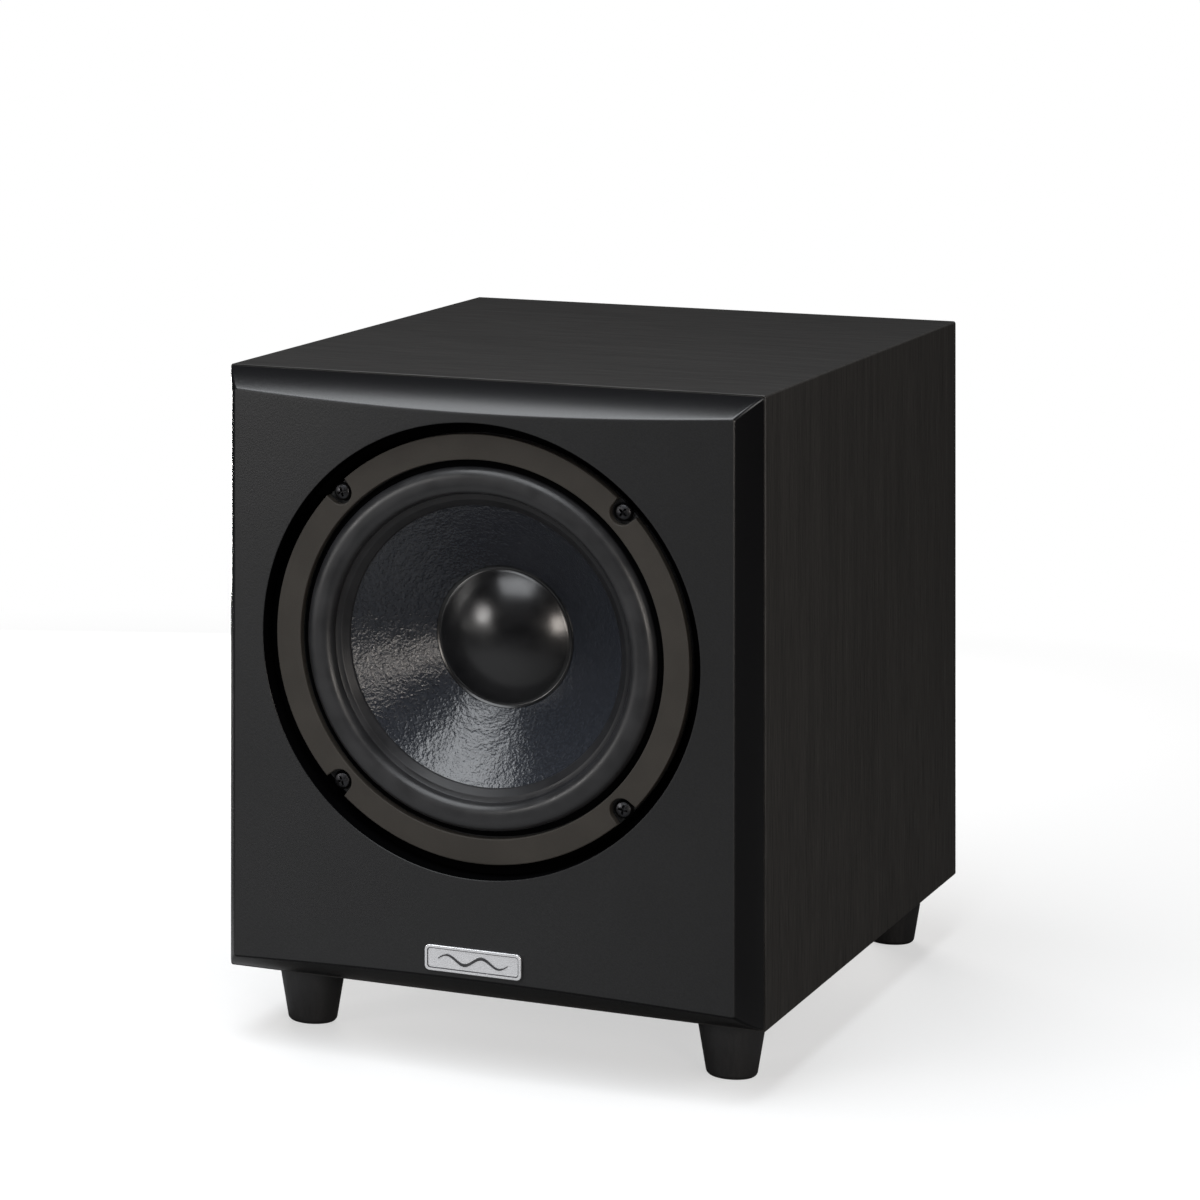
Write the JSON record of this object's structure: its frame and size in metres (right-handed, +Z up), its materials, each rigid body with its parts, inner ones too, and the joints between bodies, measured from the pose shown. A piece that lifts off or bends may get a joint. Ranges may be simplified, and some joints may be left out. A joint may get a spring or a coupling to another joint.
{
  "type": "subwoofer",
  "caption": "Powered subwoofer: a box cabinet on tapered feet, with a bowed front, a single cone driver in a trim ring and a plate amplifier in the back.",
  "frame": {"origin": "bottom centre of the bounding box, on the plane the feet stand on", "axes": "+Z up, -Y is the front with the driver, +X to the right of a person who faces the front"},
  "size_m": [0.28, 0.437, 0.345],
  "materials": {
    "cabinet_wrap": "matte black ash vinyl with a fine horizontal grain",
    "fascia_paint": "matte charcoal paint with a fine texture on a machined board",
    "bare_board": "unfinished fibreboard",
    "foam": "closed cell foam gasket",
    "cast_frame": "cast frame, satin black",
    "ring_plastic": "moulded ring, warm dark grey",
    "surround_rubber": "soft black rubber",
    "cone_sheet": "coated paper cone with a crinkled skin",
    "cap_gloss": "high gloss black",
    "spider_cloth": "resin treated cloth",
    "ferrite": "ferrite, matt dark grey",
    "steel": "zinc plated steel",
    "black_steel": "black oxide steel",
    "copper": "enamelled copper wire",
    "former_film": "amber film",
    "foot_plastic": "moulded black plastic",
    "badge_silver": "satin silver",
    "amp_plate": "black powder coated aluminium",
    "anodised": "black anodised",
    "circuit": "green laminate",
    "black_plastic": "moulded black plastic",
    "capacitor_sleeve": "shrunk sleeve",
    "winding": "taped copper winding on a steel core",
    "red_lens": "clear red lens",
    "cable_sleeve": "soft black sleeve",
    "wadding_fill": "loose polyester wadding"
  },
  "bodies": {
    "cabinet": {"acoustic_wadding": "wadding_fill", "amp_gasket": "foam", "amp_plate": "amp_plate", "amp_screw_1": "black_steel", "amp_screw_2": "black_steel", "amp_screw_3": "black_steel", "amp_screw_4": "black_steel", "amp_screw_5": "black_steel", "amp_screw_6": "black_steel", "badge": "badge_silver", "bottom_panel": "cabinet_wrap", "circuit_board": "circuit", "crossover_pot": "steel", "driver_basket": "cast_frame", "driver_gasket": "foam", "driver_screw_lower_left": "black_steel", "driver_screw_lower_right": "black_steel", "driver_screw_upper_left": "black_steel", "driver_screw_upper_right": "black_steel", "driver_terminals": "black_plastic", "foot_front_left": "foot_plastic", "foot_front_right": "foot_plastic", "foot_rear_left": "foot_plastic", "foot_rear_right": "foot_plastic", "foot_screw_front_left": "steel", "foot_screw_front_right": "steel", "foot_screw_rear_left": "steel", "foot_screw_rear_right": "steel", "front_baffle": "bare_board", "front_fascia": "fascia_paint", "heat_sink": "anodised", "inner_brace": "bare_board", "input_sockets": "black_plastic", "left_panel": "cabinet_wrap", "magnet": "ferrite", "mains_inlet": "black_plastic", "mains_transformer": "winding", "motor_top_plate": "black_steel", "motor_yoke": "black_steel", "phase_switch_body": "black_plastic", "power_light": "red_lens", "power_switch_body": "black_plastic", "rear_panel": "cabinet_wrap", "reservoir_capacitor_1": "capacitor_sleeve", "reservoir_capacitor_2": "capacitor_sleeve", "right_panel": "cabinet_wrap", "speaker_cable": "cable_sleeve", "spider": "spider_cloth", "surround": "surround_rubber", "top_panel": "cabinet_wrap", "trim_ring": "ring_plastic", "volume_pot": "steel"},
    "cone_assembly": {"cone": "cone_sheet", "dust_cap": "cap_gloss", "coil_former": "former_film", "voice_coil": "copper"},
    "volume_control": {"volume_knob": "black_plastic"},
    "crossover_control": {"crossover_knob": "black_plastic"},
    "phase_control": {"phase_slider": "black_plastic"},
    "power_control": {"power_rocker": "black_plastic"}
  },
  "joints": [
    {"name": "cone_travel", "type": "slide", "parent": "cabinet", "child": "cone_assembly", "axis": [0, -1, 0], "range_m": [-0.006, 0.006], "stiffness_N_per_m": 1100, "deforming": ["surround", "spider"]},
    {"name": "volume_turn", "type": "hinge", "parent": "cabinet", "child": "volume_control", "pos_m": [0.034, 0.20055, 0.176], "axis": [0, 1, 0], "range_deg": [-150, 150]},
    {"name": "crossover_turn", "type": "hinge", "parent": "cabinet", "child": "crossover_control", "pos_m": [-0.014, 0.20055, 0.176], "axis": [0, 1, 0], "range_deg": [-150, 150]},
    {"name": "phase_slide", "type": "slide", "parent": "cabinet", "child": "phase_control", "axis": [1, 0, 0], "range_m": [0, 0.004]},
    {"name": "power_rock", "type": "hinge", "parent": "cabinet", "child": "power_control", "pos_m": [0.048, 0.19905, 0.106], "axis": [1, 0, 0], "range_deg": [-18, 0]}
  ]
}
